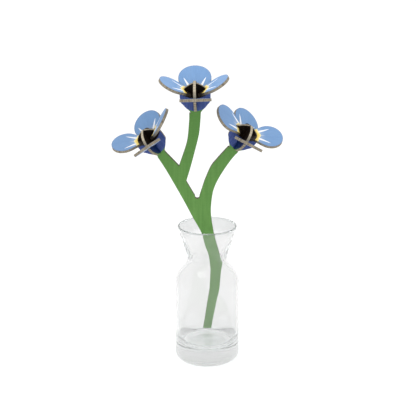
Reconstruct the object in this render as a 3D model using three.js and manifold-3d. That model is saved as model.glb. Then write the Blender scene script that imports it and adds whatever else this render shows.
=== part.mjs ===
import * as THREE from "three";
import { mergeVertices } from "three/addons/utils/BufferGeometryUtils.js";
import Module from "manifold-3d";

// Three blue wooden flowers on one branched stem board, leaning in a small clear glass carafe.
// Millimetres, +Z up. The origin is the centre of the carafe's underside, and the flowers face -Y.

// Boards: flat plywood pieces that slot into each other
const boardThick = 2.5;
const fitGap = 0.3;
const slotWide = boardThick + 2 * fitGap;
const roundSteps = 4;

// Carafe
const carafeHigh = 144;
const bodyRadius = 33.5;
const bodyUp = 80;
const waistUp = 107.5;
const waistRadius = 20.5;
const mouthRadius = 30.2;
const footRound = 3;
const bodyWall = 2.6;
const waistWall = 4.1;
const lipWall = 2.2;
const floorUp = 15.7;
const floorCorner = 12;
const carafeSides = 48;

// Where the stem board stands: its foot is at the back of the carafe's floor, and it leans forward
const stemLean = THREE.MathUtils.degToRad(19);
const stemFoot = new THREE.Vector3(0, 24, 19.45);

// Flower head, measured down from its peak along its own axis
const headLong = 29;
const crossLong = 27.6;
const stemHalf = 4.2;
const headLapDown = 14.5;
const sidePetalDown = 11.8;
const frontPetalDown = 17.1;

// Petals, measured out from the flower's axis
const petalLong = 34.9;
const petalWide = { left: 29, right: 29, back: 29.6, front: 27.4 };
const petalWidestAt = 22;
const petalRootAt = 4.6;
const petalRootHalf = 5.4;
const petalTipFlat = 2.15;
const petalNeck = 1.6;
const petalLapAt = 8.3;
const petalLapGap = 0.8;
const petalPivotAt = 11;
const slotReach = 24;

// One side of a head on the stem board, from its peak to its foot: the roof of the dark core, then the calyx
const headSide = [
  [
    [0, 0],
    [4, -1.6],
    [7.6, -3.8],
    [9.7, -5.8],
  ],
  [
    [13.2, -7.6],
    [13.6, -10.6],
    [13.1, -17.8],
    [10.9, -20.9],
    [8.7, -23.8],
    [5.9, -26.6],
    [stemHalf, -headLong],
  ],
];

// A cross board's side towards the viewer, which is full and round, and its plainer side at the back
const crossFront = [
  [
    [0, 0],
    [5.2, -0.3],
    [9.4, -1.3],
    [12.3, -2.9],
    [14.5, -5.1],
    [16.1, -7.7],
    [16.8, -10.6],
    [16.8, -13.2],
    [16.3, -15.8],
    [15.2, -18.1],
    [12.8, -21.3],
    [8.6, -25],
    [stemHalf / 2, -crossLong],
  ],
];
const crossBack = [
  [
    [0, 0],
    [4.2, -1.7],
    [8.3, -3.4],
    [11.8, -5.5],
    [13.9, -7.8],
    [14.6, -10.8],
    [14.2, -16.4],
    [12.9, -19.4],
    [10.6, -22.6],
    [7.2, -25.8],
    [stemHalf / 2, -crossLong],
  ],
];

// Each flower: its peak on the stem board (across, up), its lean to the right in degrees, how far its
// cross board stands above that peak, and how each petal sits in its slot. Tilt lifts the tip, roll
// turns the petal about its length and twist swings it in its own plane, in degrees. Slide is how far
// it stands out of its slot, and drop is how much lower than usual its slot is cut.
const flowers = {
  top: {
    peak: [-10.75, 292.8],
    lean: -1.8,
    crossUp: 1.1,
    left: { tilt: 28.2, roll: 7.5, twist: 0, slide: -0.2, drop: 0.9 },
    right: { tilt: 29, roll: -7.8, twist: -1, slide: -0.95, drop: 0.9 },
    back: { tilt: 34.6, roll: 1, twist: 1, slide: 0.55, drop: 0.9 },
    front: { tilt: 26.4, roll: 0.2, twist: 4, slide: 0, drop: -0.1 },
  },
  left: {
    peak: [-58.6, 245.6],
    lean: -34.2,
    crossUp: 0,
    left: { tilt: 25.8, roll: -2.8, twist: 1.1, slide: 0.8, drop: 0.2 },
    right: { tilt: 27, roll: -4.2, twist: -3.4, slide: -0.8, drop: 0.2 },
    back: { tilt: 32.4, roll: -3, twist: -3.4, slide: 0, drop: 0.2 },
    front: { tilt: 24, roll: 3.1, twist: 6, slide: 0, drop: 0.2 },
  },
  right: {
    peak: [40.2, 250.1],
    lean: 34,
    crossUp: 0,
    left: { tilt: 12.4, roll: -8.8, twist: -4, slide: 0.8, drop: -0.8 },
    right: { tilt: 26.9, roll: 9.5, twist: 2.5, slide: 0.3, drop: -0.8 },
    back: { tilt: 21.6, roll: 10, twist: -3.4, slide: 0, drop: -0.8 },
    front: { tilt: 25.5, roll: 3.2, twist: 6, slide: 0, drop: 0.6 },
  },
};

// How far each petal is turned about its flower's axis, from the right-hand side
const petalTurns = { left: Math.PI, right: 0, back: Math.PI / 2, front: -Math.PI / 2 };

const glass = new THREE.MeshStandardMaterial({
  color: 0xe6ebea,
  roughness: 0.05,
  metalness: 0,
  transparent: true,
  opacity: 0.4,
});
const greenBoard = new THREE.MeshStandardMaterial({ color: 0x6a9a52, roughness: 0.6, metalness: 0 });
const darkBlueBoard = new THREE.MeshStandardMaterial({ color: 0x4a5a9c, roughness: 0.6, metalness: 0 });
const paleBlueBoard = new THREE.MeshStandardMaterial({ color: 0x8fb0de, roughness: 0.6, metalness: 0 });

const wasm = await Module();
wasm.setup();

function solidOf(geometry) {
  const bare = new THREE.BufferGeometry();
  const open = geometry.index ? geometry.toNonIndexed() : geometry;
  bare.setAttribute("position", open.getAttribute("position"));
  const merged = mergeVertices(bare, 1e-4);
  return new wasm.Manifold(
    new wasm.Mesh({
      numProp: 3,
      vertProperties: new Float32Array(merged.attributes.position.array),
      triVerts: new Uint32Array(merged.index.array),
    }),
  );
}

function geometryOf(solid) {
  const mesh = solid.getMesh();
  const geometry = new THREE.BufferGeometry();
  geometry.setAttribute("position", new THREE.BufferAttribute(mesh.vertProperties, 3));
  geometry.setIndex(new THREE.BufferAttribute(mesh.triVerts, 1));
  geometry.computeVertexNormals();
  return geometry;
}

// A flat board lies in its own XY plane, half its thickness to each side.
function boardGeometry(shape) {
  const geometry = new THREE.ExtrudeGeometry(shape, {
    depth: boardThick,
    bevelEnabled: false,
    curveSegments: roundSteps,
  });
  return geometry.translate(0, 0, -boardThick / 2);
}

function slotGeometry(from, to, half) {
  const [x0, y0] = from;
  const [x1, y1] = to;
  const box = new THREE.BoxGeometry(x1 - x0, y1 - y0, 2 * half);
  return box.translate((x0 + x1) / 2, (y0 + y1) / 2, 0);
}

function points(pairs) {
  return pairs.map(([x, y]) => new THREE.Vector2(x, y));
}

// Carafe: the outer wall is drawn upwards from the axis, over the lip, and back down inside to the
// thick floor.
function carafeMesh() {
  const inner = bodyRadius - bodyWall;
  const innerWaist = waistRadius - waistWall;
  const lipInner = mouthRadius - lipWall;
  const lipRound = lipWall / 2;
  const lipUp = carafeHigh - lipRound;
  const profile = new THREE.Path();
  profile.moveTo(0, 0);
  profile.lineTo(bodyRadius - footRound, 0);
  profile.absarc(bodyRadius - footRound, footRound, footRound, -Math.PI / 2, 0, false);
  profile.lineTo(bodyRadius, bodyUp);
  profile.bezierCurveTo(bodyRadius, bodyUp + 16, waistRadius + 1, waistUp - 8, waistRadius, waistUp);
  const flareUp = carafeHigh - 16;
  profile.bezierCurveTo(waistRadius + 0.2, waistUp + 5, mouthRadius - 4.4, flareUp, mouthRadius, lipUp);
  profile.absarc(mouthRadius - lipRound, lipUp, lipRound, 0, Math.PI, false);
  profile.bezierCurveTo(lipInner - 4.6, carafeHigh - 18, innerWaist + 0.4, waistUp + 6, innerWaist, waistUp);
  profile.bezierCurveTo(innerWaist + 1, waistUp - 9, inner, bodyUp + 14, inner, bodyUp - 2);
  profile.lineTo(inner, floorUp + floorCorner);
  profile.absarc(inner - floorCorner, floorUp + floorCorner, floorCorner, 0, -Math.PI / 2, true);
  profile.lineTo(0, floorUp);
  const lathe = new THREE.LatheGeometry(profile.getPoints(6), carafeSides);
  const mesh = new THREE.Mesh(lathe.rotateX(Math.PI / 2), glass);
  mesh.name = "carafe";
  return mesh;
}

// A flower head's outline from the smooth lines of its +X side and its -X side
function headShape(side, otherSide) {
  const smoothed = (spots) => new THREE.SplineCurve(points(spots)).getPoints(roundSteps * spots.length);
  const line = side.flatMap(smoothed);
  const otherLine = otherSide.flatMap(smoothed).map(({ x, y }) => new THREE.Vector2(-x, y));
  return new THREE.Shape([...otherLine, ...line.slice(1).reverse()]);
}

// The branched stem, on the stem board's own plane: across and up from the middle of its foot
function stemShape() {
  const shape = new THREE.Shape();
  shape.moveTo(-4.6, -1.4);
  shape.lineTo(2.4, 58);
  shape.splineThru(
    points([
      [3.4, 81],
      [1.8, 99.6],
      [-2.1, 114.6],
      [-5.4, 129.5],
      [-14, 149],
      [-21.3, 166.4],
      [-31.6, 189.4],
      [-39.2, 205.6],
      [-45.7, 218],
    ]),
  );
  shape.lineTo(-48, 221.5);
  shape.lineTo(-39.6, 228.2);
  shape.lineTo(-26.1, 208);
  shape.splineThru(
    points([
      [-20.8, 224.7],
      [-17.9, 236.1],
      [-16.1, 254.5],
      [-16, 264.7],
    ]),
  );
  shape.lineTo(-15.9, 268);
  shape.lineTo(-5.6, 268);
  shape.lineTo(-5.7, 264.7);
  shape.splineThru(
    points([
      [-6, 254.5],
      [-7.4, 241.4],
      [-11.6, 222.6],
      [-15.5, 206.5],
      [-19.7, 191.1],
    ]),
  );
  shape.lineTo(-11.5, 174.1);
  shape.absarc(-9.4, 173.4, 2.2, Math.PI * 0.9, Math.PI * 2.1, false);
  shape.splineThru(
    points([
      [-2.6, 191.1],
      [3.1, 206.5],
      [8.6, 215],
      [19.4, 229],
    ]),
  );
  shape.lineTo(21.6, 232.6);
  shape.lineTo(30.6, 226.8);
  shape.lineTo(28.5, 223.3);
  shape.splineThru(
    points([
      [21.6, 214],
      [11.8, 196.3],
      [6.2, 181.5],
      [4, 164.5],
      [4, 149.9],
      [6.4, 131],
      [9.6, 114.6],
      [13.5, 97.6],
      [14.4, 85],
      [13, 58],
    ]),
  );
  shape.lineTo(4.6, -1.4);
  shape.closePath();
  return shape;
}

// A petal points along +X from the flower's axis, with its printed face towards +Z.
function petalHalfWidth(out, wide) {
  if (out < petalWidestAt) {
    const along = (out - petalRootAt) / (petalWidestAt - petalRootAt);
    return petalRootHalf + (wide / 2 - petalRootHalf) * Math.sin((along * Math.PI) / 2) ** petalNeck;
  }
  const past = (out - petalWidestAt) / (petalLong - petalWidestAt);
  return (wide / 2) * Math.sqrt(Math.max(0, 1 - past ** petalTipFlat));
}

function petalShape(wide) {
  const upper = [];
  for (let i = 0; i <= 7; i++) {
    const out = petalRootAt + ((petalWidestAt - petalRootAt) * i) / 7;
    upper.push([out, petalHalfWidth(out, wide)]);
  }
  for (let i = 1; i < 12; i++) {
    const past = Math.sin((i * Math.PI) / 24) ** (2 / petalTipFlat);
    const out = petalWidestAt + (petalLong - petalWidestAt) * past;
    upper.push([out, petalHalfWidth(out, wide)]);
  }
  const tip = [[petalLong, 0]];
  const lower = [...upper].reverse().map(([x, y]) => [x, -y]);
  return new THREE.Shape(points([...upper, ...tip, ...lower].reverse()));
}

// The petal's place in its flower: turned about the axis, lowered to its level, then tilted, rolled and
// twisted.
function petalPlace(side, seat) {
  const down = seat.drop + (side === "left" || side === "right" ? sidePetalDown : frontPetalDown);
  const { degToRad } = THREE.MathUtils;
  const place = new THREE.Matrix4().makeTranslation(0, -down, 0);
  const step = new THREE.Matrix4();
  place.multiply(step.makeRotationY(petalTurns[side]));
  place.multiply(step.makeRotationX(-Math.PI / 2));
  place.multiply(step.makeRotationY(-degToRad(seat.tilt)));
  place.multiply(step.makeTranslation(petalPivotAt, 0, 0));
  place.multiply(step.makeRotationX(degToRad(seat.roll)));
  place.multiply(step.makeRotationZ(degToRad(seat.twist)));
  place.multiply(step.makeTranslation(seat.slide - petalPivotAt, 0, 0));
  return place;
}

// The board that carries a petal, seen from the petal: it fills the petal's notch out to the lap.
function petalNotch(side, place) {
  const notch = slotGeometry([-1, -60], [petalLapAt + petalLapGap / 2, 30], slotWide / 2);
  notch.rotateY(petalTurns[side]);
  return notch.applyMatrix4(place.clone().invert());
}

// The petal, seen from the board that carries it: it fills the board's slot from the lap outwards.
function petalSlot(place, slide) {
  const from = petalLapAt - petalLapGap / 2 - slide;
  const slot = new THREE.BoxGeometry(slotReach - from, 12, slotWide);
  slot.translate((slotReach + from) / 2, 0, 0);
  return slot.applyMatrix4(place);
}

function placedMesh(name, geometry, material, place) {
  const mesh = new THREE.Mesh(geometry, material);
  mesh.name = name;
  place.decompose(mesh.position, mesh.quaternion, mesh.scale);
  return mesh;
}

// The spray: the stem board's plane is the group's XY plane, with +Z towards the viewer.
function sprayGroup() {
  const spray = new THREE.Group();
  let stemBoard = solidOf(boardGeometry(stemShape()));
  for (const [name, flower] of Object.entries(flowers)) {
    const head = new THREE.Matrix4().makeTranslation(flower.peak[0], flower.peak[1], 0);
    head.multiply(new THREE.Matrix4().makeRotationZ(-THREE.MathUtils.degToRad(flower.lean)));
    const onHead = (geometry) => solidOf(geometry.applyMatrix4(head));
    const frontwards = new THREE.Matrix4().makeRotationY(petalTurns.front);
    const crossPlace = new THREE.Matrix4().makeTranslation(0, flower.crossUp, 0).multiply(frontwards);
    const fromCross = crossPlace.clone().invert();

    // the head in the stem board, open at its peak for the cross board
    const headBoard = boardGeometry(headShape(headSide, headSide));
    stemBoard = stemBoard.add(onHead(headBoard));
    const peakSlot = slotGeometry([-40, -headLapDown - fitGap / 2], [40, 20], slotWide / 2);
    stemBoard = stemBoard.subtract(onHead(peakSlot.applyMatrix4(frontwards)));

    // the cross board, open at its foot for the stem board
    let cross = solidOf(boardGeometry(headShape(crossFront, crossBack)));
    const footSlot = slotGeometry([-40, -headLong - 20], [40, -headLapDown + fitGap / 2], slotWide / 2);
    cross = cross.subtract(solidOf(footSlot.applyMatrix4(fromCross)));

    for (const side of Object.keys(petalTurns)) {
      const place = petalPlace(side, flower[side]);
      const board = solidOf(boardGeometry(petalShape(petalWide[side])));
      const petal = board.subtract(solidOf(petalNotch(side, place)));
      if (side === "left" || side === "right") {
        stemBoard = stemBoard.subtract(onHead(petalSlot(place, flower[side].slide)));
      } else {
        cross = cross.subtract(solidOf(petalSlot(place, flower[side].slide).applyMatrix4(fromCross)));
      }
      const seated = head.clone().multiply(place);
      spray.add(placedMesh(name + "_petal_" + side, geometryOf(petal), paleBlueBoard, seated));
    }
    const crossSeat = head.clone().multiply(crossPlace);
    spray.add(placedMesh(name + "_cross", geometryOf(cross), darkBlueBoard, crossSeat));
  }
  const board = new THREE.Mesh(geometryOf(stemBoard), greenBoard);
  board.name = "stem_board";
  spray.add(board);
  spray.rotation.x = Math.PI / 2 + stemLean;
  spray.position.copy(stemFoot);
  return spray;
}

const group = new THREE.Group();
group.add(carafeMesh());
group.add(sprayGroup());
export default group;
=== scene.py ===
import math

import bmesh
import bpy
import numpy as np
from mathutils import Matrix, Vector, noise


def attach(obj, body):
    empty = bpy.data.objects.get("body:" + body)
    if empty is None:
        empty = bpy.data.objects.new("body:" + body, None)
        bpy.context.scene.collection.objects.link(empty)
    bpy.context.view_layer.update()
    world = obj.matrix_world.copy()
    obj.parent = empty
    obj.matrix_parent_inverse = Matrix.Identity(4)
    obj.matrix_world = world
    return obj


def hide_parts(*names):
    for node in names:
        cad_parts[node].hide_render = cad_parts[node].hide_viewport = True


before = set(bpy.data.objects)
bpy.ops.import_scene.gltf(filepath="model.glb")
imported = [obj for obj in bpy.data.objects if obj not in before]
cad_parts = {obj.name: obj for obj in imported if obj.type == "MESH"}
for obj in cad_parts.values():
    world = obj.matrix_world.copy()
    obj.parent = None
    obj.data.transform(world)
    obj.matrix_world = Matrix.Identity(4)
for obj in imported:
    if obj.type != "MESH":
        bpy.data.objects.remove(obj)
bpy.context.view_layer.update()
print("frame loaded with", len(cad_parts), "solids")

mm = 0.001
tiny = 1e-6
smooth = {"interpolation_type": "SMOOTHSTEP"}
colours = {"data_type": "RGBA"}  # a Mix node's share is then its input 0, and its two colours are 6 and 7


def toLinear(code):
    parts = [int(code[i : i + 2], 16) / 255 for i in (1, 3, 5)]
    return [c / 12.92 if c <= 0.04045 else ((c + 0.055) / 1.055) ** 2.4 for c in parts] + [1.0]


def addNode(tree, kind, settings=None, inputs=None):
    # one node: settings are its own options, inputs are numbers, colours or whatever feeds the socket
    node = tree.nodes.new("ShaderNode" + kind)
    for name, value in (settings or {}).items():
        setattr(node, name, value)
    for key, value in (inputs or {}).items():
        if isinstance(value, bpy.types.Node):
            value = next(socket for socket in value.outputs if socket.enabled)
        if isinstance(value, bpy.types.NodeSocket):
            tree.links.new(node.inputs[key], value)
        else:
            node.inputs[key].default_value = value
    return node


def newMaterial(name):
    material = bpy.data.materials.new(name)
    material.use_nodes = True
    material.node_tree.nodes.clear()
    return material, material.node_tree


def newPiece(name, mesh, material, smoothAngle=40):
    mesh.materials.append(material)
    mesh.polygons.foreach_set("use_smooth", [True] * len(mesh.polygons))
    mesh.set_sharp_from_angle(angle=math.radians(smoothAngle))
    piece = bpy.data.objects.new(name, mesh)
    bpy.context.scene.collection.objects.link(piece)
    return piece


def smoothThrough(spots, steps):
    # a smooth line that passes through every spot
    line = []
    last = len(spots) - 1
    for i in range(last):
        a, b, c, d = (Vector(spots[min(max(k, 0), last)]) for k in (i - 1, i, i + 1, i + 2))
        inward, outward = (c - a) / 2, (d - b) / 2
        for k in range(steps):
            t = k / steps
            spot = (2 * b - 2 * c + inward + outward) * t**3
            spot += (3 * c - 3 * b - 2 * inward - outward) * t**2 + inward * t + b
            line.append(tuple(spot))
    line.append(tuple(spots[-1]))
    return line


def curvedLine(start, end, handles, steps):
    # a curve with a handle at each end, given from that end
    a, d = Vector(start), Vector(end)
    b, c = a + Vector(handles[0]), d + Vector(handles[1])
    line = []
    for k in range(steps + 1):
        t = k / steps
        u = 1 - t
        line.append(tuple(a * u**3 + b * 3 * u * u * t + c * 3 * u * t * t + d * t**3))
    return line


def arcLine(centre, radius, start, end, steps):
    angles = [math.radians(start + (end - start) * k / steps) for k in range(steps + 1)]
    return [(centre[0] + radius * math.cos(a), centre[1] + radius * math.sin(a)) for a in angles]


# the camera, where the photograph was taken from
cameraSet = {
    "place": (0.9, -700.0, 368.0),  # mm, worked out from the photograph's perspective
    "lookDown": 16.4,  # degrees below level
    "focalPixels": 720.0,
    "framePixels": 416.0,
    "sensor": 36.0,
    "nearest": 10.0,  # mm
}
cameraData = bpy.data.cameras.new("camera")
cameraData.sensor_width = cameraSet["sensor"]
cameraData.lens = cameraSet["sensor"] * cameraSet["focalPixels"] / cameraSet["framePixels"]
cameraData.clip_start = cameraSet["nearest"] * mm
camera = bpy.data.objects.new("camera", cameraData)
camera.location = Vector(cameraSet["place"]) * mm
camera.rotation_euler = (math.radians(90 - cameraSet["lookDown"]), 0, 0)
bpy.context.scene.collection.objects.link(camera)
bpy.context.scene.camera = camera

# floor and light
studio = {
    "floorRadius": 30.0,  # metres
    "floorSides": 96,
    "floorColour": "#FAFAFA",
    "floorRoughness": 0.9,
    "waveScale": 900.0,  # over the whole floor: the paper's waves are about 67 mm long
    "waveStrength": 0.05,
    "waveDeep": 0.2,  # mm
    "skyColour": "#FFFFFF",
    "skyGlow": {"From Min": -1.0, "To Min": 1.07, "To Max": 1.12},  # towards the floor and overhead
    "lampAim": (0, 0, 0.17),
    "lamps": {  # place and size in metres, power in watts
        "overheadSoftbox": ((-0.3, -0.25, 1.3), 1.0, 3.0),
    },
    "turns": 48,  # light turns many times inside the glass before it comes out
    "glossyTurns": 24,
}
bpy.context.scene.view_settings.view_transform = "Standard"
bpy.context.scene.view_settings.look = "None"
bpy.context.scene.cycles.max_bounces = studio["turns"]
bpy.context.scene.cycles.glossy_bounces = studio["glossyTurns"]
bpy.context.scene.cycles.transmission_bounces = studio["turns"]

# seamless uncoated paper: an even white without a shine
floorMaterial, tree = newMaterial("matte white paper sweep")
waves = addNode(tree, "TexNoise", None, {"Scale": studio["waveScale"], "Detail": 3.0, "Roughness": 0.6})
relief = addNode(
    tree,
    "Bump",
    None,
    {"Strength": studio["waveStrength"], "Distance": studio["waveDeep"] * mm, "Height": waves},
)
paper = addNode(
    tree,
    "BsdfPrincipled",
    None,
    {"Base Color": toLinear(studio["floorColour"]), "Roughness": studio["floorRoughness"], "Normal": relief},
)
addNode(tree, "OutputMaterial", None, {"Surface": paper})

bm = bmesh.new()
bmesh.ops.create_circle(bm, cap_ends=True, radius=studio["floorRadius"], segments=studio["floorSides"])
floorMesh = bpy.data.meshes.new("floor")
bm.to_mesh(floorMesh)
bm.free()
floor = newPiece("floor", floorMesh, floorMaterial)

world = bpy.data.worlds.new("white studio")
bpy.context.scene.world = world
world.use_nodes = True
world.node_tree.nodes.clear()
ways = addNode(world.node_tree, "TexCoord")
heights = addNode(world.node_tree, "SeparateXYZ", None, {0: ways.outputs["Generated"]})
glow = addNode(world.node_tree, "MapRange", None, {"Value": heights.outputs["Z"], **studio["skyGlow"]})
sky = addNode(world.node_tree, "Background", None, {"Color": toLinear(studio["skyColour"]), "Strength": glow})
addNode(world.node_tree, "OutputWorld", None, {"Surface": sky})

for name, (place, size, power) in studio["lamps"].items():
    lampData = bpy.data.lights.new(name, "AREA")
    lampData.shape = "DISK"
    lampData.size = size
    lampData.energy = power
    lamp = bpy.data.objects.new(name, lampData)
    lamp.location = place
    lamp.rotation_euler = (Vector(studio["lampAim"]) - Vector(place)).to_track_quat("-Z", "Y").to_euler()
    bpy.context.scene.collection.objects.link(lamp)
print("camera, floor and lights made")

# glass carafe, in mm
carafe = {
    "high": 144.0,
    "bodyRadius": 33.5,
    "bodyUp": 80.0,
    "waistUp": 107.5,
    "waistRadius": 20.5,
    "mouthRadius": 30.2,
    "footRound": 3.0,
    "bodyWall": 2.6,
    "waistWall": 4.1,
    "lipWall": 2.2,
    "floorUp": 15.7,
    "floorCorner": 12.0,
    "puntRadius": 25.0,  # the shallow hollow under the base
    "puntDeep": 0.9,
    "insideBodyDown": 2.0,  # how much lower the inside's straight wall ends than the outside's
    # each curve's two handles, out and up from its start and from its end
    "shoulder": ((0.0, 16.0), (1.0, -8.0)),
    "flare": ((0.2, 5.0), (-4.4, -14.9)),
    "insideFlare": ((-4.6, -16.9), (0.4, 6.0)),
    "insideShoulder": ((1.0, -9.0), (0.0, 16.0)),
    "ripple": 0.12,  # how unevenly the inside of pressed glass lies
    "rippleRound": 2.2,
    "rippleUp": 38.0,
    "rippleAbove": 16.7,
    "sides": 160,
    "rows": {"punt": 8, "foot": 8, "body": 10, "curve": 20, "lip": 10, "inside": 8, "corner": 14, "floor": 5},
}

glassLook = {
    "tint": "#F1F1F1",  # what a wall takes off, seen straight through
    "mouthShadeTint": "#DDDEDE",  # painted shade: a greyer tint at the back of the mouth, where there is one wall to see through
    "mouthUp": {"From Min": 126.0 * mm, "From Max": 134.0 * mm},
    "mouthBack": {"From Min": -4.0 * mm, "From Max": 10.0 * mm},  # from just before the axis to behind it
    "lipShadeTint": "#D0D4D3",  # painted shade: a greyer tint in the round lip
    "lipUp": {"From Min": 141.6 * mm, "From Max": 142.8 * mm},
    "edgeShadeTint": "#D6D8D7",  # painted shade: a greyer tint where a wall is seen along its side
    "edgeFrom": 0.62,
    "haze": 0.03,  # what the skin scatters back: a faint veil over what is inside
    "depthColour": "#CACDCC",  # clear glass turns grey, and very faintly green, where it is thick
    "depthPerMetre": 11.0,
    "straightTint": "#FDFEFE",  # what is left of light that goes straight on
    "caughtAfter": 8.5,  # turns
    "roughness": 0.015,
    "ior": 1.52,
    "ripplesMm": 9.0,
    "rippleStrength": 0.05,
    "rippleDeep": 0.4,  # mm
}


def clearGlass():
    # soda-lime glass, pressed and fire polished: clear, with bright smooth lights, and greyer where it is
    # thick; painted shade greys it at the back of its mouth, in its lip and at its edges
    g = glassLook
    material, tree = newMaterial("pressed clear soda-lime glass")
    place = addNode(tree, "TexCoord").outputs["Object"]
    ripples = {"Vector": place, "Scale": 1 / (g["ripplesMm"] * mm), "Detail": 1.0}
    waves = addNode(tree, "TexNoise", None, ripples)
    relief = addNode(
        tree,
        "Bump",
        None,
        {"Strength": g["rippleStrength"], "Distance": g["rippleDeep"] * mm, "Height": waves},
    )
    spot = addNode(tree, "SeparateXYZ", None, {"Vector": place})
    # painted shade: a greyer tint at the back of the mouth
    up = addNode(tree, "MapRange", smooth, {"Value": spot.outputs["Z"], **g["mouthUp"]})
    behind = addNode(tree, "MapRange", smooth, {"Value": spot.outputs["Y"], **g["mouthBack"]})
    atMouth = addNode(tree, "Math", {"operation": "MULTIPLY"}, {0: up, 1: behind})
    tint = addNode(tree, "Mix", colours, {0: atMouth, 6: toLinear(g["tint"]), 7: toLinear(g["mouthShadeTint"])})
    # painted shade: a greyer tint in the round lip
    atLip = addNode(tree, "MapRange", smooth, {"Value": spot.outputs["Z"], **g["lipUp"]})
    lipped = addNode(tree, "Mix", colours, {0: atLip, 6: tint, 7: toLinear(g["lipShadeTint"])})
    # painted shade: a greyer tint where a wall is seen along its side
    facing = addNode(tree, "LayerWeight", None, {"Blend": 0.5})
    aside = addNode(tree, "MapRange", smooth, {"Value": facing.outputs["Facing"], "From Min": g["edgeFrom"]})
    edged = addNode(tree, "Mix", colours, {0: aside, 6: lipped, 7: toLinear(g["edgeShadeTint"])})
    glass = addNode(
        tree,
        "BsdfPrincipled",
        None,
        {
            "Base Color": edged,
            "Roughness": g["roughness"],
            "IOR": g["ior"],
            "Transmission Weight": 1 - g["haze"],
            "Normal": relief,
        },
    )
    # light on its way to and from the matte boards, and light that is caught in the walls, goes straight on
    path = addNode(tree, "LightPath").outputs
    caught = addNode(tree, "Math", {"operation": "GREATER_THAN"}, {0: path["Ray Depth"], 1: g["caughtAfter"]})
    matte = addNode(tree, "Math", {"operation": "MAXIMUM"}, {0: path["Is Diffuse Ray"], 1: caught})
    straight = addNode(tree, "Math", {"operation": "MAXIMUM"}, {0: path["Is Shadow Ray"], 1: matte})
    letThrough = addNode(tree, "BsdfTransparent", None, {"Color": toLinear(g["straightTint"])})
    surface = addNode(tree, "MixShader", None, {0: straight, 1: glass, 2: letThrough})
    thick = {"Color": toLinear(g["depthColour"]), "Density": g["depthPerMetre"]}
    depth = addNode(tree, "VolumeAbsorption", None, thick)
    addNode(tree, "OutputMaterial", None, {"Surface": surface, "Volume": depth})
    return material


def carafeProfile():
    # from the middle of the underside, up the outside, over the lip and down inside to the floor's middle
    c = carafe
    rows = c["rows"]
    lipRound = c["lipWall"] / 2
    lipUp = c["high"] - lipRound
    inner = c["bodyRadius"] - c["bodyWall"]
    body = (c["bodyRadius"], c["bodyUp"])
    waist = (c["waistRadius"], c["waistUp"])
    rim = (c["mouthRadius"], lipUp)
    insideRim = (c["mouthRadius"] - c["lipWall"], lipUp)
    insideWaist = (c["waistRadius"] - c["waistWall"], c["waistUp"])
    insideBody = (inner, c["bodyUp"] - c["insideBodyDown"])

    outside = []
    for k in range(rows["punt"]):
        share = k / rows["punt"]
        outside.append((c["puntRadius"] * share, c["puntDeep"] * math.cos(math.pi / 2 * share)))
    outside.append((c["puntRadius"], 0.0))
    foot = (c["bodyRadius"] - c["footRound"], c["footRound"])
    outside += arcLine(foot, c["footRound"], -90, 0, rows["foot"])
    bodyStep = (c["bodyUp"] - c["footRound"]) / rows["body"]
    outside += [(c["bodyRadius"], c["footRound"] + bodyStep * k) for k in range(1, rows["body"])]
    outside += curvedLine(body, waist, c["shoulder"], rows["curve"])
    outside += curvedLine(waist, rim, c["flare"], rows["curve"])[1:]
    outside += arcLine((c["mouthRadius"] - lipRound, lipUp), lipRound, 0, 180, rows["lip"])[1:]

    inside = curvedLine(insideRim, insideWaist, c["insideFlare"], rows["curve"])[1:]
    inside += curvedLine(insideWaist, insideBody, c["insideShoulder"], rows["curve"])[1:]
    cornerUp = c["floorUp"] + c["floorCorner"]
    insideStep = (insideBody[1] - cornerUp) / rows["inside"]
    inside += [(inner, insideBody[1] - insideStep * k) for k in range(1, rows["inside"])]
    floorReach = inner - c["floorCorner"]
    inside += arcLine((floorReach, cornerUp), c["floorCorner"], 0, -90, rows["corner"])
    inside += [(floorReach * (1 - k / rows["floor"]), c["floorUp"]) for k in range(1, rows["floor"] + 1)]
    return outside, inside


def carafeMesh():
    outside, inside = carafeProfile()
    sides = carafe["sides"]
    bm = bmesh.new()
    rows = []
    for index, (radius, up) in enumerate(outside + inside):
        if radius < tiny:
            rows.append([bm.verts.new((0, 0, up * mm))])
            continue
        isInside = index >= len(outside)
        row = []
        for k in range(sides):
            turn = 2 * math.pi * k / sides
            uneven = 0.0
            if isInside and up > carafe["rippleAbove"]:
                around = carafe["rippleRound"]
                spot = Vector((around * math.cos(turn), around * math.sin(turn), up / carafe["rippleUp"]))
                uneven = carafe["ripple"] * noise.noise(spot)
            reach = (radius + uneven) * mm
            row.append(bm.verts.new((reach * math.cos(turn), reach * math.sin(turn), up * mm)))
        rows.append(row)
    for low, high in zip(rows, rows[1:]):
        for k in range(sides):
            n = (k + 1) % sides
            if len(low) == 1:
                bm.faces.new((low[0], high[n], high[k]))
            elif len(high) == 1:
                bm.faces.new((low[k], low[n], high[0]))
            else:
                bm.faces.new((low[k], low[n], high[n], high[k]))
    bmesh.ops.recalc_face_normals(bm, faces=bm.faces)
    mesh = bpy.data.meshes.new("glassCarafe")
    bm.to_mesh(mesh)
    bm.free()
    return mesh


glassPiece = newPiece("glassCarafe", carafeMesh(), clearGlass(), smoothAngle=70)
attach(glassPiece, "root")
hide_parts("carafe")
print("glass carafe made")

# boards: laser-cut plywood, printed on both faces; in mm
board = {
    "thick": 2.5,
    "rim": 0.12,  # the slight rounding that sanding leaves along a cut
    "rimMiddle": 0.3,  # where that rounding's middle lies, as a share of it
    "glueLine": 0.42,  # each glue line's distance from the middle of the board
    "glueGroove": 0.05,
    "outlineBand": 0.8,  # how far in from the cut the printed outline reaches
    "fitGap": 0.12,
    "sharpest": 0.45,  # a sharp corner is moved in no further than this share allows
    "untangleRounds": 60,
    "curveSteps": 8,
    "roundSteps": 14,
}
slotHalf = board["thick"] / 2 + board["fitGap"]

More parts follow.
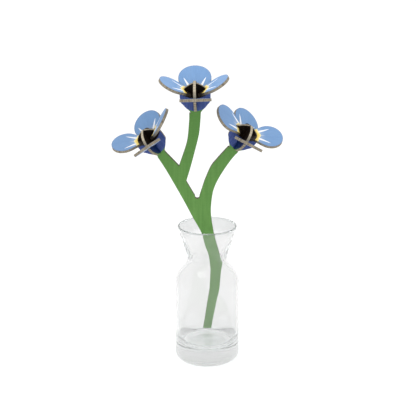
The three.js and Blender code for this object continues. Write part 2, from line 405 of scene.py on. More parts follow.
# how far the cutters reach past what they cut, so that each slot is open at its end
cutReach = {
    "through": 6.0,  # a petal's slot, to both faces of the board
    "notchIn": 1.0,  # a petal's notch, past the flower's axis
    "notchUp": 30.0,
    "notchDown": 60.0,
    "across": 40.0,  # the slots in which two boards cross
    "along": 20.0,
}


def inset(outline, gap):
    # the outline moved inwards, for one that runs anticlockwise
    spots = np.array(outline, float)
    ahead = np.roll(spots, -1, 0) - spots
    ahead /= np.linalg.norm(ahead, axis=1)[:, None]
    behind = np.roll(ahead, 1, 0)
    inwardAhead = np.stack([-ahead[:, 1], ahead[:, 0]], 1)
    inwardBehind = np.stack([-behind[:, 1], behind[:, 0]], 1)
    middle = inwardAhead + inwardBehind
    middle /= np.maximum(np.linalg.norm(middle, axis=1)[:, None], tiny)
    reach = np.clip((middle * inwardAhead).sum(1), board["sharpest"], 1)
    moved = spots + middle * (gap / reach)[:, None]
    # an edge shorter than its corner takes off would turn round and cross its neighbours, so its ends meet
    for _ in range(board["untangleRounds"]):
        turnedRound = ((np.roll(moved, -1, 0) - moved) * ahead).sum(1) < -tiny
        if not turnedRound.any():
            break
        for k in np.flatnonzero(turnedRound):
            n = (k + 1) % len(moved)
            moved[k] = moved[n] = (moved[k] + moved[n]) / 2
    return moved


def withoutRepeats(outline, least=0.02):
    kept = [outline[0]]
    for spot in outline[1:]:
        if math.dist(spot, kept[-1]) > least:
            kept.append(spot)
    if math.dist(kept[0], kept[-1]) <= least:
        kept.pop()
    return kept


def boxCutter(low, high, place):
    # eight corners and six faces of a box, turned into the board's own frame
    xs, ys, zs = zip(low, high)
    corners = [place @ Vector((x, y, z)) for z in zs for y in ys for x in xs]
    faces = [(0, 2, 3, 1), (4, 5, 7, 6), (0, 1, 5, 4), (2, 6, 7, 3), (0, 4, 6, 2), (1, 3, 7, 5)]
    return corners, faces


def boardMesh(name, outline, cutters, printShift, paintedLight):
    # a board in its own XY plane, half its thickness to each side, with its slots cut
    outline = withoutRepeats(outline)
    half = board["thick"] / 2
    rim, glue, groove = board["rim"], board["glueLine"], board["glueGroove"]
    bow = rim * board["rimMiddle"]
    upper = [(0, glue - groove), (groove, glue), (0, glue + groove), (0, half - rim)]
    upper += [(bow, half - bow), (rim, half), (board["outlineBand"], half)]
    rows = [(gap, -up) for gap, up in reversed(upper)] + upper
    bm = bmesh.new()
    loops = []
    for gap, up in rows:
        loops.append([bm.verts.new((x, y, up)) for x, y in inset(outline, gap)])
    count = len(outline)
    for low, high in zip(loops, loops[1:]):
        for k in range(count):
            n = (k + 1) % count
            bm.faces.new((low[k], low[n], high[n], high[k]))
    bm.faces.new(list(reversed(loops[0])))
    bm.faces.new(loops[-1])
    whole = bpy.data.meshes.new(name + "Whole")
    bm.to_mesh(whole)
    bm.free()

    bm = bmesh.new()
    for corners, faces in cutters:
        made = [bm.verts.new(c) for c in corners]
        for face in faces:
            bm.faces.new([made[i] for i in face])
    bmesh.ops.recalc_face_normals(bm, faces=bm.faces)
    cutMesh = bpy.data.meshes.new(name + "Cuts")
    bm.to_mesh(cutMesh)
    bm.free()

    blank = bpy.data.objects.new(name + "Blank", whole)
    cutter = bpy.data.objects.new(name + "Cutter", cutMesh)
    for helper in (blank, cutter):
        bpy.context.scene.collection.objects.link(helper)
    cut = blank.modifiers.new("slots", "BOOLEAN")
    cut.operation = "DIFFERENCE"
    cut.solver = "MANIFOLD"
    cut.object = cutter
    seen = bpy.context.evaluated_depsgraph_get()
    mesh = bpy.data.meshes.new_from_object(blank.evaluated_get(seen))
    for helper in (blank, cutter):
        bpy.data.objects.remove(helper)
    mesh.materials.clear()

    # what the print needs: each point's place on the board in mm, and how far it is from the cut outline
    spots = np.array([v.co for v in mesh.vertices], float).reshape(-1, 3)
    starts = np.array(outline, float)
    steps = np.roll(starts, -1, 0) - starts
    toSpot = spots[:, None, :2] - starts[None]
    along = np.clip((toSpot * steps).sum(2) / (steps**2).sum(1), 0, 1)
    gaps = np.linalg.norm(toSpot - along[..., None] * steps, axis=2).min(1)
    gaps = np.minimum(gaps, board["outlineBand"])
    printPlace = mesh.attributes.new("printPlace", "FLOAT_VECTOR", "POINT")
    printPlace.data.foreach_set("vector", (spots + np.array(printShift)).astype(np.float32).ravel())
    cutGap = mesh.attributes.new("cutGap", "FLOAT", "POINT")
    cutGap.data.foreach_set("value", gaps.astype(np.float32))
    # painted light and shade: one brightness for the whole piece, for how its flower faces the light
    paintedLightTone = mesh.attributes.new("paintedLightTone", "FLOAT", "POINT")
    paintedLightTone.data.foreach_set("value", np.full(len(gaps), paintedLight, np.float32))
    mesh.name = name
    return mesh


def placedBoard(name, outline, cutters, place, material, node, printShift=(0, 0, 0), paintedLight=1.0):
    mesh = boardMesh(name, outline, cutters, printShift, paintedLight)
    mesh.transform(Matrix.Scale(mm, 4) @ place)
    piece = newPiece(name, mesh, material)
    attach(piece, "root")
    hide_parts(node)


# where everything stands, in mm and degrees, from the same driving sizes as the solids
stem = {"lean": 19.0, "foot": (0.0, 24.0, 19.45)}

head = {
    "long": 29.0,
    "lapDown": 14.5,
    "sideDown": 11.8,
    "frontDown": 17.1,
    "side": [  # one side of its outline, from the peak to the foot
        [(0, 0), (4, -1.6), (7.6, -3.8), (9.7, -5.8)],
        [(13.2, -7.6), (13.6, -10.6), (13.1, -17.8), (10.9, -20.9), (8.7, -23.8), (5.9, -26.6), (4.2, -29)],
    ],
    "crossFront": [  # the cross board, on the side towards the camera
        [
            (0, 0), (5.2, -0.3), (9.4, -1.3), (12.3, -2.9), (14.5, -5.1), (16.1, -7.7), (16.8, -10.6),
            (16.8, -13.2), (16.3, -15.8), (15.2, -18.1), (12.8, -21.3), (8.6, -25), (2.1, -27.6),
        ],
    ],
    "crossBack": [
        [
            (0, 0), (4.2, -1.7), (8.3, -3.4), (11.8, -5.5), (13.9, -7.8), (14.6, -10.8), (14.2, -16.4),
            (12.9, -19.4), (10.6, -22.6), (7.2, -25.8), (2.1, -27.6),
        ],
    ],
}

petal = {
    "long": 34.87,  # a hair short of the solid's, so that its rounder tip stays inside it
    "wide": {"left": 29.0, "right": 29.0, "back": 29.6, "front": 27.4},
    "widestAt": 22.0,
    "rootAt": 4.6,
    "rootHalf": 5.4,
    "tipFlat": 2.15,
    "neck": 1.6,
    "lapAt": 8.3,
    "lapGap": 0.3,
    "pivotAt": 11.0,
    "slotReach": 24.0,
    "rootSteps": 22,
    "tipSteps": 36,
}

# flank: where the calyx is as dark as the cross, part print and part painted shade (1 to the right, -1 to the
# left);
# the petals of each flower are made lighter or darker as a whole, as painted light and shade for how they
# face the light; each petal: tilt, roll and twist in degrees, how far it stands out of its slot, and its drop
# in mm
flowers = {
    "top": {
        "peak": (-10.75, 292.8),
        "lean": -1.8,
        "flank": 0,
        "paintedLight": 1.07,
        "crossUp": 1.1,
        "left": (28.2, 7.5, 0.0, -0.2, 0.9),
        "right": (29.0, -7.8, -1.0, -0.95, 0.9),
        "back": (34.6, 1.0, 1.0, 0.55, 0.9),
        "front": (26.4, 0.2, 4.0, 0.0, -0.1),
    },
    "left": {
        "peak": (-58.6, 245.6),
        "lean": -34.2,
        "flank": 1,
        "paintedLight": 0.86,
        "crossUp": 0.0,
        "left": (25.8, -2.8, 1.1, 0.8, 0.2),
        "right": (27.0, -4.2, -3.4, -0.8, 0.2),
        "back": (32.4, -3.0, -3.4, 0.0, 0.2),
        "front": (24.0, 3.1, 6.0, 0.0, 0.2),
    },
    "right": {
        "peak": (40.2, 250.1),
        "lean": 34.0,
        "flank": -1,
        "paintedLight": 0.97,
        "crossUp": 0.0,
        "left": (12.4, -8.8, -4.0, 0.8, -0.8),
        "right": (26.9, 9.5, 2.5, 0.3, -0.8),
        "back": (21.6, 10.0, -3.4, 0.0, -0.8),
        "front": (25.5, 3.2, 6.0, 0.0, 0.6),
    },
}
petalTurns = {"left": 180, "right": 0, "back": 90, "front": -90}


def turned(degrees, axis):
    return Matrix.Rotation(math.radians(degrees), 4, axis)


def petalPlace(side, seat):
    tilt, roll, twist, slide, drop = seat
    down = drop + (head["sideDown"] if side in ("left", "right") else head["frontDown"])
    out = Matrix.Translation((petal["pivotAt"], 0, 0))
    place = Matrix.Translation((0, -down, 0)) @ turned(petalTurns[side], "Y") @ turned(-90, "X")
    place = place @ turned(-tilt, "Y") @ out @ turned(roll, "X") @ turned(twist, "Z")
    return place @ Matrix.Translation((slide - petal["pivotAt"], 0, 0))


def petalHalfWidth(out, wide):
    p = petal
    if out < p["widestAt"]:
        along = (out - p["rootAt"]) / (p["widestAt"] - p["rootAt"])
        return p["rootHalf"] + (wide / 2 - p["rootHalf"]) * math.sin(along * math.pi / 2) ** p["neck"]
    past = (out - p["widestAt"]) / (p["long"] - p["widestAt"])
    return wide / 2 * math.sqrt(max(0.0, 1 - past ** p["tipFlat"]))


def petalOutline(wide):
    p = petal
    rootSpan, tipSpan = p["widestAt"] - p["rootAt"], p["long"] - p["widestAt"]
    upper = [p["rootAt"] + rootSpan * k / p["rootSteps"] for k in range(p["rootSteps"] + 1)]
    turns = [k * math.pi / (2 * p["tipSteps"]) for k in range(1, p["tipSteps"])]
    upper += [p["widestAt"] + tipSpan * math.sin(turn) ** (2 / p["tipFlat"]) for turn in turns]
    edge = [(out, petalHalfWidth(out, wide)) for out in upper] + [(p["long"], 0.0)]
    return [(x, -y) for x, y in edge] + list(reversed(edge[:-1]))


def headLoop(side, otherSide):
    # from the foot on the left, over the peak, to the foot on the right
    steps = board["curveSteps"]
    line = [spot for span in side for spot in smoothThrough(span, steps)]
    otherLine = [(-x, y) for span in otherSide for x, y in smoothThrough(span, steps)]
    return otherLine[::-1] + line[1:]


stemSpans = [
    ("straight", [(-4.6, -1.4)]),
    (
        "smooth",
        [
            (2.4, 58), (3.4, 81), (1.8, 99.6), (-2.1, 114.6), (-5.4, 129.5), (-14, 149),
            (-21.3, 166.4), (-31.6, 189.4), (-39.2, 205.6), (-45.7, 218),
        ],
    ),
    ("head", "left"),
    ("straight", [(-26.1, 208)]),
    ("smooth", [(-20.8, 224.7), (-17.9, 236.1), (-16.1, 254.5), (-15.8, 263)]),
    ("head", "top"),
    ("smooth", [(-5.5, 263), (-6, 254.5), (-7.4, 241.4), (-11.6, 222.6), (-15.5, 206.5), (-19.7, 191.1)]),
    ("straight", [(-11.5, 174.1)]),
    ("round", ((-9.4, 173.4), 2.2, 162, 378)),
    ("smooth", [(-2.6, 191.1), (3.1, 206.5), (8.6, 215), (19.4, 229)]),
    ("head", "right"),
    (
        "smooth",
        [
            (28.5, 223.3), (21.6, 214), (11.8, 196.3), (6.2, 181.5), (4, 164.5), (4, 149.9),
            (6.4, 131), (9.6, 114.6), (13.5, 97.6), (14.4, 85), (13, 58),
        ],
    ),
    ("straight", [(4.6, -1.4)]),
]


def headOnBoard(flower):
    return Matrix.Translation((*flower["peak"], 0)) @ turned(-flower["lean"], "Z")


def stemOutline():
    outline = []
    for kind, span in stemSpans:
        if kind == "straight":
            outline += span
        elif kind == "smooth":
            outline += smoothThrough(span, board["curveSteps"])
        elif kind == "round":
            outline += arcLine(*span, board["roundSteps"])
        else:
            place = headOnBoard(flowers[span])
            loop = headLoop(head["side"], head["side"])
            outline += [tuple((place @ Vector((x, y, 0))).xy) for x, y in loop]
    return list(reversed(outline))


def petalSlot(place, seat):
    # in the board that carries a petal: the petal's own thickness, from the lap outwards
    start = petal["lapAt"] - petal["lapGap"] / 2 - seat[3]
    through = cutReach["through"]
    return boxCutter((start, -through, -slotHalf), (petal["slotReach"], through, slotHalf), place)


def petalNotch(side, place):
    # in the petal: the thickness of the board that carries it, out to the lap
    toPetal = place.inverted() @ turned(petalTurns[side], "Y")
    low = (-cutReach["notchIn"], -cutReach["notchDown"], -slotHalf)
    high = (petal["lapAt"] + petal["lapGap"] / 2, cutReach["notchUp"], slotHalf)
    return boxCutter(low, high, toPetal)


# printed plywood
printLook = {
    "petalBlue": "#7298C5",
    "petalBlueDeep": "#6890BF",
    "petalOutline": "#6A82A8",
    "petalBack": "#A9B6D6",
    "rayWhite": "#F4F7FC",
    "ringYellow": "#F0D264",
    "ringPale": "#FAEBA8",
    "coreBrown": "#21150A",
    "coreBlack": "#040302",
    "calyxBlue": "#485890",
    "calyxDeep": "#374A80",
    # the cross's calyx navy: part print, part painted shade from the petals above it
    "crossBlue": "#08295C",
    "crossBlueDeep": "#031D48",
    "stemGreen": "#628E4A",
    "stemGreenDeep": "#598543",
    # the stem's green with painted shade, as it is up near the flowers
    "stemGreenShaded": "#54803F",
    "cutEdge": "#A89F8C",
    "cutEdgeDark": "#736A59",
    "scorch": "#57493B",
    # painted shade with some laser scorch, for the petals' cut edges near the flower's middle
    "scorchAndShade": "#2A2018",
}

cutLook = {  # the bare cut, with heights in mm from the middle of the board
    "markWay": (1, 1, 0.12),  # the laser's marks stand upright
    "marksPerMm": 0.9,  # 0.4 mm apart on the real one, and drawn at 1.1 mm so that they show
    "markStops": (0.36, 0.6),
    "glue": {"From Min": 0.05, "From Max": 0.22, "To Min": 0.55, "To Max": 0.0},  # between the three plies
    "scorch": {"From Min": 0.85, "From Max": 1.2, "To Max": 0.75},  # where the laser entered
    "printDeep": 0.05,
}

skinLook = {
    "grainWay": (0.14, 1.9, 1),  # long along the board's X, with ridges about 0.5 mm apart
    "grainShade": {"From Min": 0.3, "From Max": 0.7, "To Min": 0.93, "To Max": 1.06},
    "poresPerMm": 2.6,
    "poreShine": {"From Min": 0.3, "From Max": 0.7, "To Min": 0.46, "To Max": 0.58},
    "bareRoughness": 0.85,
    "reliefStrength": 0.25,
    "reliefDeep": 0.08,  # mm
    "petalSheen": 0.45,
    "boardSheen": 0.12,
}


def boardBase(tree, cutShade=None):
    # what every printed board shares: its place, where the print is, and the look of the bare cut
    where = addNode(tree, "Attribute", {"attribute_name": "printPlace"}).outputs["Vector"]
    axes = addNode(tree, "SeparateXYZ", None, {0: where})
    height = addNode(tree, "Math", {"operation": "ABSOLUTE"}, {0: axes.outputs["Z"]})
    stretch = addNode(tree, "VectorMath", {"operation": "MULTIPLY"}, {0: where, 1: cutLook["markWay"]})
    fine = {"Vector": stretch, "Scale": cutLook["marksPerMm"], "Detail": 4.0, "Roughness": 0.7}
    plies = addNode(tree, "ValToRGB", None, {0: addNode(tree, "TexNoise", None, fine)})
    for stop, share, paint in zip(
        plies.color_ramp.elements, cutLook["markStops"], ("cutEdgeDark", "cutEdge")
    ):
        stop.position = share
        stop.color = toLinear(printLook[paint])
    fromGlue = addNode(tree, "Math", {"operation": "SUBTRACT"}, {0: height, 1: board["glueLine"]})
    glueGap = addNode(tree, "Math", {"operation": "ABSOLUTE"}, {0: fromGlue})
    glue = addNode(tree, "MapRange", smooth, {"Value": glueGap, **cutLook["glue"]})
    scorch = addNode(tree, "MapRange", smooth, {"Value": height, **cutLook["scorch"]})
    burnt = addNode(tree, "Math", {"operation": "MAXIMUM"}, {0: glue, 1: scorch})
    edge = addNode(tree, "Mix", colours, {0: burnt, 6: plies, 7: toLinear(printLook["scorch"])})
    if cutShade:
        # painted shade and highlight: darker or paler cuts from one height on the board to another
        shade = addNode(tree, "MapRange", smooth, {"Value": axes.outputs["Y"], **cutShade})
        edge = addNode(tree, "VectorMath", {"operation": "SCALE"}, {0: edge, "Scale": shade})
    printFrom = board["thick"] / 2 - cutLook["printDeep"]
    printed = addNode(tree, "Math", {"operation": "GREATER_THAN"}, {0: height, 1: printFrom})
    return where, printed, edge


def finishBoard(tree, paint, printed, edge, where, sheen):
    # a UV print lies thinly on sanded birch ply: a satin colour with the grain's fine ridges in it
    s = skinLook
    stretch = addNode(tree, "VectorMath", {"operation": "MULTIPLY"}, {0: where, 1: s["grainWay"]})
    ridges = {"Vector": stretch, "Scale": 1.0, "Detail": 5.0, "Roughness": 0.65}
    grain = addNode(tree, "TexNoise", None, ridges)
    pores = addNode(tree, "TexNoise", None, {"Vector": where, "Scale": s["poresPerMm"], "Detail": 2.0})
    shade = addNode(tree, "MapRange", None, {"Value": grain, **s["grainShade"]})
    shaded = addNode(tree, "VectorMath", {"operation": "SCALE"}, {0: paint, "Scale": shade})
    colour = addNode(tree, "Mix", colours, {0: printed, 6: edge, 7: shaded})
    shine = addNode(tree, "MapRange", None, {"Value": pores, **s["poreShine"]})
    rough = addNode(tree, "Mix", {"data_type": "FLOAT"}, {0: printed, 2: s["bareRoughness"], 3: shine})
    relief = addNode(
        tree,
        "Bump",
        None,
        {"Strength": s["reliefStrength"], "Distance": s["reliefDeep"] * mm, "Height": grain},
    )
    skin = addNode(
        tree,
        "BsdfPrincipled",
        None,
        {"Base Color": colour, "Roughness": rough, "Specular IOR Level": sheen, "Normal": relief},
    )
    addNode(tree, "OutputMaterial", None, {"Surface": skin})


petalPrint = {  # mm out from the flower's axis, and degrees to each side of the petal's middle
    "strokeWay": (0.05, 7.0, 1),  # out and round: long soft strokes
    "deeper": {"From Min": 0.35, "From Max": 0.68, "To Max": 0.6},
    "outline": {"From Min": 0.35, "From Max": 0.78, "To Min": 0.75, "To Max": 0.0},  # mm in from the cut
    "flush": {"From Min": 14.5, "From Max": 20.0, "To Min": 0.14, "To Max": 0.0},
    "rayLong": {"From Min": 13.6, "From Max": 25.6},
    "rayHalf": 1.45,
    "rayTaper": 0.6,
    "rayAngle": 20.5,
    "rayFan": 3.0,
    "raySoft": {"From Max": 0.3},
    "middleRay": {"From Min": 13.6, "From Max": 21.0, "To Min": 0.6, "To Max": -0.3},  # its half width
    "middleSoft": {"From Min": -0.3, "From Max": 0.3, "To Max": 0.5},
    "ringFrom": 11.4,
    "ringTo": 14.3,
    "ringLobes": 9.0,  # to a radian
    "lobeHigh": 0.55,
    "ringSoft": {"From Min": -0.15, "From Max": 0.15},
    "ringPale": {"From Min": 0.2, "From Max": 2.2, "To Min": 1.0, "To Max": 0.0},
    "eyeSoft": {"From Min": -0.2, "From Max": 0.3},
    "underPale": 0.75,
    # painted shade with some laser scorch on the cut edge, strongest nearest the flower's middle
    "scorchAndShade": {"From Min": 10.0, "From Max": 15.5, "To Min": 0.9, "To Max": 0.0},
}

# how far a petal's print lies off its usual place on the board, where the photograph shows that it does
printShift = {
    "rightPetalLeft": (3.0, 1.5, 0),
    "leftPetalLeft": (1.0, -0.8, 0),
}


def petalMaterial():
    # birch plywood, laser cut and printed in a soft blue with white rays round a yellow eye
    p = petalPrint
    material, tree = newMaterial("printed birch plywood, forget-me-not petal")
    where, printed, edge = boardBase(tree)
    gap = addNode(tree, "Attribute", {"attribute_name": "cutGap"}).outputs["Fac"]
    flat = addNode(tree, "VectorMath", {"operation": "MULTIPLY"}, {0: where, 1: (1, 1, 0)})
    out = addNode(tree, "VectorMath", {"operation": "LENGTH"}, {0: flat}).outputs["Value"]
    axes = addNode(tree, "SeparateXYZ", None, {0: where})
    turn = addNode(tree, "Math", {"operation": "ARCTAN2"}, {0: axes.outputs["Y"], 1: axes.outputs["X"]})
    offMiddle = addNode(tree, "Math", {"operation": "ABSOLUTE"}, {0: turn})
    white = toLinear(printLook["rayWhite"])

    # blue in soft uneven strokes, some a little deeper
    strokes = addNode(tree, "CombineXYZ", None, {0: out, 1: turn})
    strokeWay = addNode(tree, "VectorMath", {"operation": "MULTIPLY"}, {0: strokes, 1: p["strokeWay"]})
    cloud = addNode(tree, "TexNoise", None, {"Vector": strokeWay, "Scale": 1.0, "Detail": 3.0})
    deeper = addNode(tree, "MapRange", None, {"Value": cloud, **p["deeper"]})
    blues = {6: toLinear(printLook["petalBlue"]), 7: toLinear(printLook["petalBlueDeep"])}
    blue = addNode(tree, "Mix", colours, {0: deeper, **blues})

    # the fine darker line round the petal, and a pale flush outside the ring
    line = addNode(tree, "MapRange", smooth, {"Value": gap, **p["outline"]})
    lined = addNode(tree, "Mix", colours, {0: line, 6: blue, 7: toLinear(printLook["petalOutline"])})
    flush = addNode(tree, "MapRange", smooth, {"Value": out, **p["flush"]})
    flushed = addNode(tree, "Mix", colours, {0: flush, 6: lined, 7: white})

    # two long white rays that fan out, and a faint short one between them
    alongRay = addNode(tree, "MapRange", {"clamp": False}, {"Value": out, **p["rayLong"]})
    rayTurn = addNode(
        tree,
        "Math",
        {"operation": "MULTIPLY_ADD"},
        {0: alongRay, 1: math.radians(p["rayFan"]), 2: math.radians(p["rayAngle"])},
    )
    offRay = addNode(tree, "Math", {"operation": "SUBTRACT"}, {0: offMiddle, 1: rayTurn})
    offRayMm = addNode(tree, "Math", {"operation": "MULTIPLY"}, {0: offRay, 1: out})
    rayGap = addNode(tree, "Math", {"operation": "ABSOLUTE"}, {0: offRayMm})
    toTip = addNode(tree, "Math", {"operation": "SUBTRACT", "use_clamp": True}, {0: 1.0, 1: alongRay})
    taper = addNode(tree, "Math", {"operation": "POWER"}, {0: toTip, 1: p["rayTaper"]})
    rayHalf = addNode(tree, "Math", {"operation": "MULTIPLY"}, {0: taper, 1: p["rayHalf"]})
    inRay = addNode(tree, "Math", {"operation": "SUBTRACT"}, {0: rayHalf, 1: rayGap})
    ray = addNode(tree, "MapRange", smooth, {"Value": inRay, **p["raySoft"]})
    middleHalf = addNode(tree, "MapRange", None, {"Value": out, **p["middleRay"]})
    offMiddleMm = addNode(tree, "Math", {"operation": "MULTIPLY"}, {0: offMiddle, 1: out})
    inMiddle = addNode(tree, "Math", {"operation": "SUBTRACT"}, {0: middleHalf, 1: offMiddleMm})
    middle = addNode(tree, "MapRange", smooth, {"Value": inMiddle, **p["middleSoft"]})
    rays = addNode(tree, "Math", {"operation": "MAXIMUM"}, {0: ray, 1: middle})
    rayed = addNode(tree, "Mix", colours, {0: rays, 6: flushed, 7: white})

    # the yellow ring with its scalloped outer edge, paler inwards from it
    lobeTurn = addNode(tree, "Math", {"operation": "MULTIPLY"}, {0: turn, 1: p["ringLobes"]})
    lobe = addNode(tree, "Math", {"operation": "COSINE"}, {0: lobeTurn})
    scallop = {0: lobe, 1: p["lobeHigh"], 2: p["ringTo"]}
    ringEdge = addNode(tree, "Math", {"operation": "MULTIPLY_ADD"}, scallop)
    inRing = addNode(tree, "Math", {"operation": "SUBTRACT"}, {0: ringEdge, 1: out})
    ring = addNode(tree, "MapRange", smooth, {"Value": inRing, **p["ringSoft"]})
    pale = addNode(tree, "MapRange", smooth, {"Value": inRing, **p["ringPale"]})
    yellows = {6: toLinear(printLook["ringYellow"]), 7: toLinear(printLook["ringPale"])}
    yellow = addNode(tree, "Mix", colours, {0: pale, **yellows})
    ringed = addNode(tree, "Mix", colours, {0: ring, 6: rayed, 7: yellow})

    # the dark eye inside it
    inEye = addNode(tree, "Math", {"operation": "SUBTRACT"}, {0: p["ringFrom"], 1: out})
    eye = addNode(tree, "MapRange", smooth, {"Value": inEye, **p["eyeSoft"]})
    face = addNode(tree, "Mix", colours, {0: eye, 6: ringed, 7: toLinear(printLook["coreBrown"])})

    # the underside is a paler, plainer blue
    backs = {6: lined, 7: toLinear(printLook["petalBack"])}
    under = addNode(tree, "Mix", colours, {0: p["underPale"], **backs})
    isTop = addNode(tree, "Math", {"operation": "GREATER_THAN"}, {0: axes.outputs["Z"], 1: 0.0})
    paint = addNode(tree, "Mix", colours, {0: isTop, 6: under, 7: face})
    # painted light and shade: each flower's petals are made lighter or darker as a whole, for how they face
    # the light
    paintedLight = addNode(tree, "Attribute", {"attribute_name": "paintedLightTone"}).outputs["Fac"]
    lightAndShadePaint = addNode(tree, "VectorMath", {"operation": "SCALE"}, {0: paint, "Scale": paintedLight})

    # painted shade, with some laser scorch, darkens the cut edge towards the flower's middle
    scorchedAndShaded = addNode(tree, "MapRange", smooth, {"Value": out, **p["scorchAndShade"]})
    scorchedShadedEdge = addNode(tree, "Mix", colours, {0: scorchedAndShaded, 6: edge, 7: toLinear(printLook["scorchAndShade"])})
    finishBoard(tree, lightAndShadePaint, printed, scorchedShadedEdge, where, skinLook["petalSheen"])
    return material


headPrint = {  # mm down from the peak and out from the axis
    "strokeWay": (0.9, 0.16, 1),
    "strokeStops": (0.35, 0.6),
    "roofEnd": -4.9,  # the eye's ends and the roof's are measured from the petals' level
    "roofWider": 20.0,
    "eyeHalf": 12.0,
    "eyeNarrowsAt": -1.6,
    "eyeEndsAt": 2.9,
    "eyeTaper": 0.5,
    "eyeSoft": {"From Min": -1.2, "From Max": 0.5},
    "greenFrom": 27.2,
    "greenRise": 1.5,
    "greenHalf": 6.0,  # this far out from the axis the green has risen by that much
    "greenSoft": {"From Min": -0.2, "From Max": 0.2},
    "crossEyeUp": 2.0,  # the eye ends this much higher on a cross board
    "crossCuts": {"From Min": -16.0, "From Max": -1.0, "To Min": 1.0, "To Max": 1.55},  # painted highlight: paler cuts near the peak, where they face up to the light
    "flankFrom": 15.0,  # beside the cross, to one side, the calyx is as dark as the cross is: part print, part painted shade cast by the cross and the front petal
    "flankTo": 25.5,
    "flankSlope": 0.36,
}


def paintHead(tree, where, petalDown, below, blue, blueDeep):
    # one flower head's print: dark eye, blue calyx, and the colour of what is below it
    h = headPrint
    axes = addNode(tree, "SeparateXYZ", None, {0: where})
    across = addNode(tree, "Math", {"operation": "ABSOLUTE"}, {0: axes.outputs["X"]})
    down = addNode(tree, "Math", {"operation": "MULTIPLY"}, {0: axes.outputs["Y"], 1: -1.0})
    flow = addNode(tree, "VectorMath", {"operation": "MULTIPLY"}, {0: where, 1: h["strokeWay"]})
    strokes = addNode(tree, "TexNoise", None, {"Vector": flow, "Scale": 1.0, "Detail": 3.0})
    calyx = addNode(tree, "ValToRGB", None, {0: strokes})
    for stop, share, paint in zip(calyx.color_ramp.elements, h["strokeStops"], (blueDeep, blue)):
        stop.position = share
        stop.color = toLinear(printLook[paint])
    darks = {6: toLinear(printLook["coreBlack"]), 7: toLinear(printLook["coreBrown"])}
    eyeTone = addNode(tree, "Mix", colours, {0: strokes, **darks})

    # the dark eye is as wide as the head's roof, then narrows to a rounded point under the petals
    left = addNode(
        tree,
        "MapRange",
        None,
        {
            "Value": down,
            "From Min": petalDown + h["eyeNarrowsAt"],
            "From Max": petalDown + h["eyeEndsAt"],
            "To Min": 1.0,
            "To Max": 0.0,
        },
    )
    narrowed = addNode(tree, "Math", {"operation": "POWER"}, {0: left, 1: h["eyeTaper"]})
    eyeHalf = addNode(tree, "Math", {"operation": "MULTIPLY"}, {0: narrowed, 1: h["eyeHalf"]})
    roof = addNode(tree, "Math", {"operation": "LESS_THAN"}, {0: down, 1: petalDown + h["roofEnd"]})
    eyeReach = addNode(tree, "Math", {"operation": "MULTIPLY_ADD"}, {0: roof, 1: h["roofWider"], 2: eyeHalf})
    inEye = addNode(tree, "Math", {"operation": "SUBTRACT"}, {0: eyeReach, 1: across})
    eye = addNode(tree, "MapRange", smooth, {"Value": inEye, **h["eyeSoft"]})
    dressed = addNode(tree, "Mix", colours, {0: eye, 6: calyx, 7: eyeTone})

    # where the calyx meets the stem, the green rises at both sides
    acrossSquare = addNode(tree, "Math", {"operation": "MULTIPLY"}, {0: across, 1: across})
    greenLine = addNode(
        tree,
        "Math",
        {"operation": "MULTIPLY_ADD"},
        {0: acrossSquare, 1: -h["greenRise"] / h["greenHalf"] ** 2, 2: h["greenFrom"]},
    )
    intoGreen = addNode(tree, "Math", {"operation": "SUBTRACT"}, {0: down, 1: greenLine})
    green = addNode(tree, "MapRange", smooth, {"Value": intoGreen, **h["greenSoft"]})
    return addNode(tree, "Mix", colours, {0: green, 6: dressed, 7: below}), across, down


def paintFlank(tree, where, down, side, paint):
    # the calyx's dark flank, part print and part painted shade, to the right for side 1 and to the left for
    # side -1
    h = headPrint
    axes = addNode(tree, "SeparateXYZ", None, {0: where})
    sideways = addNode(tree, "Math", {"operation": "MULTIPLY"}, {0: axes.outputs["X"], 1: side})
    reach = addNode(
        tree,
        "Math",
        {"operation": "MULTIPLY_ADD"},
        {0: down, 1: -h["flankSlope"], 2: h["flankSlope"] * h["flankTo"]},
    )
    within = addNode(tree, "Math", {"operation": "LESS_THAN"}, {0: sideways, 1: reach})
    beside = addNode(tree, "Math", {"operation": "GREATER_THAN"}, {0: sideways, 1: 0.0})
    under = addNode(tree, "Math", {"operation": "GREATER_THAN"}, {0: down, 1: h["flankFrom"]})
    besideWithin = addNode(tree, "Math", {"operation": "MULTIPLY"}, {0: within, 1: beside})
    flank = addNode(tree, "Math", {"operation": "MULTIPLY"}, {0: besideWithin, 1: under})
    return addNode(tree, "Mix", colours, {0: flank, 6: paint, 7: toLinear(printLook["crossBlue"])})


def crossMaterial():
    # the same birch plywood, printed with the flower's dark eye and blue calyx on both faces; the calyx's
    # deep navy is part print and part painted shade from the petals above it
    material, tree = newMaterial("printed birch plywood, cross board")
    where, printed, edge = boardBase(tree, headPrint["crossCuts"])
    # the green below the calyx is the stem's green with painted shade, as it is near the flowers
    green = toLinear(printLook["stemGreenShaded"])
    eyeDown = head["frontDown"] - headPrint["crossEyeUp"]
    paint = paintHead(tree, where, eyeDown, green, "crossBlue", "crossBlueDeep")[0]
    finishBoard(tree, paint, printed, edge, where, skinLook["boardSheen"])
    return material


stemPrint = {  # mm up the board
    "strokeWay": (0.5, 0.03, 1),  # faint long strokes
    "strokeStops": (0.35, 0.62),
    # painted shade: the green darkens up towards the flowers, under them
    "darker": {"From Min": 165.0, "From Max": 262.0, "To Max": 0.85},
    "cuts": {"From Min": 238.0, "From Max": 222.0, "To Min": 1.0, "To Max": 0.5},  # painted shade: the cut edges darker below the flowers, under them
    "headHalf": 15.0,
    "headAbove": 1.0,
}


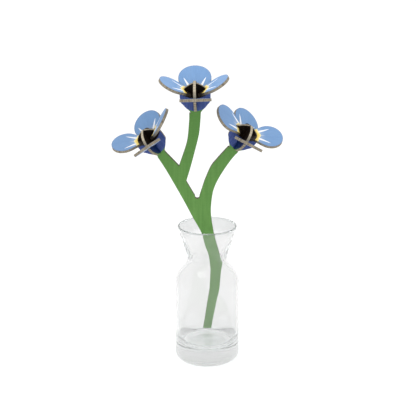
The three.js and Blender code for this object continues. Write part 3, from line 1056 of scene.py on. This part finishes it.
def greenPaint(tree, where):
    # leaf green, with painted shade making it darker up near the flowers
    flow = addNode(tree, "VectorMath", {"operation": "MULTIPLY"}, {0: where, 1: stemPrint["strokeWay"]})
    strokes = addNode(tree, "TexNoise", None, {"Vector": flow, "Scale": 1.0, "Detail": 4.0})
    green = addNode(tree, "ValToRGB", None, {0: strokes})
    greens = ("stemGreenDeep", "stemGreen")
    for stop, share, paint in zip(green.color_ramp.elements, stemPrint["strokeStops"], greens):
        stop.position = share
        stop.color = toLinear(printLook[paint])
    axes = addNode(tree, "SeparateXYZ", None, {0: where})
    high = addNode(tree, "MapRange", smooth, {"Value": axes.outputs["Y"], **stemPrint["darker"]})
    return addNode(tree, "Mix", colours, {0: high, 6: green, 7: toLinear(printLook["stemGreenShaded"])})


def stemMaterial():
    # the same birch plywood, printed green, with a flower head's print at the end of each branch
    material, tree = newMaterial("printed birch plywood, stem board")
    where, printed, edge = boardBase(tree, stemPrint["cuts"])
    paint = greenPaint(tree, where)
    for flower in flowers.values():
        onHead = addNode(
            tree,
            "Mapping",
            {"vector_type": "TEXTURE"},
            {
                "Vector": where,
                "Location": (*flower["peak"], 0),
                "Rotation": (0, 0, math.radians(-flower["lean"])),
            },
        )
        headPaint, across, down = paintHead(tree, onHead, head["sideDown"], paint, "calyxBlue", "calyxDeep")
        if flower["flank"]:
            headPaint = paintFlank(tree, onHead, down, flower["flank"], headPaint)
        near = addNode(tree, "Math", {"operation": "LESS_THAN"}, {0: across, 1: stemPrint["headHalf"]})
        low = addNode(tree, "Math", {"operation": "LESS_THAN"}, {0: down, 1: head["long"]})
        high = addNode(tree, "Math", {"operation": "GREATER_THAN"}, {0: down, 1: -stemPrint["headAbove"]})
        nearLow = addNode(tree, "Math", {"operation": "MULTIPLY"}, {0: near, 1: low})
        inHead = addNode(tree, "Math", {"operation": "MULTIPLY"}, {0: nearLow, 1: high})
        paint = addNode(tree, "Mix", colours, {0: inHead, 6: paint, 7: headPaint})
    finishBoard(tree, paint, printed, edge, where, skinLook["boardSheen"])
    return material


# the spray: stem board, three cross boards, twelve petals
sprayPlace = Matrix.Translation(stem["foot"]) @ turned(90 + stem["lean"], "X")
petalPly = petalMaterial()
crossPly = crossMaterial()
stemCuts = []
frontwards = turned(-90, "Y")
across, along = cutReach["across"], cutReach["along"]
lapGap = board["fitGap"] / 2
for name, flower in flowers.items():
    onBoard = headOnBoard(flower)
    onSpray = sprayPlace @ onBoard
    crossPlace = Matrix.Translation((0, flower["crossUp"], 0)) @ frontwards
    lapLow = (-across, -head["lapDown"] - lapGap, -slotHalf)
    stemCuts.append(boxCutter(lapLow, (across, along, slotHalf), onBoard @ frontwards))
    footLow = (-across, -head["long"] - along, -slotHalf)
    footHigh = (across, -head["lapDown"] + lapGap, slotHalf)
    crossCuts = [boxCutter(footLow, footHigh, crossPlace.inverted())]
    for side in petalTurns:
        place = petalPlace(side, flower[side])
        node = f"{name}_petal_{side}"
        pieceName = f"{name}Petal{side.capitalize()}"
        placedBoard(
            pieceName,
            petalOutline(petal["wide"][side]),
            [petalNotch(side, place)],
            onSpray @ place,
            petalPly,
            node,
            printShift.get(pieceName, (flower[side][3], 0, 0)),
            flower["paintedLight"],
        )
        if side in ("left", "right"):
            stemCuts.append(petalSlot(onBoard @ place, flower[side]))
        else:
            crossCuts.append(petalSlot(crossPlace.inverted() @ place, flower[side]))
    placedBoard(
        f"{name}Cross",
        headLoop(head["crossFront"], head["crossBack"])[::-1],
        crossCuts,
        onSpray @ crossPlace,
        crossPly,
        f"{name}_cross",
    )
    print("flower made:", name)

placedBoard(
    "stemBoard",
    stemOutline(),
    stemCuts,
    sprayPlace,
    stemMaterial(),
    "stem_board",
)
print("stem board made")
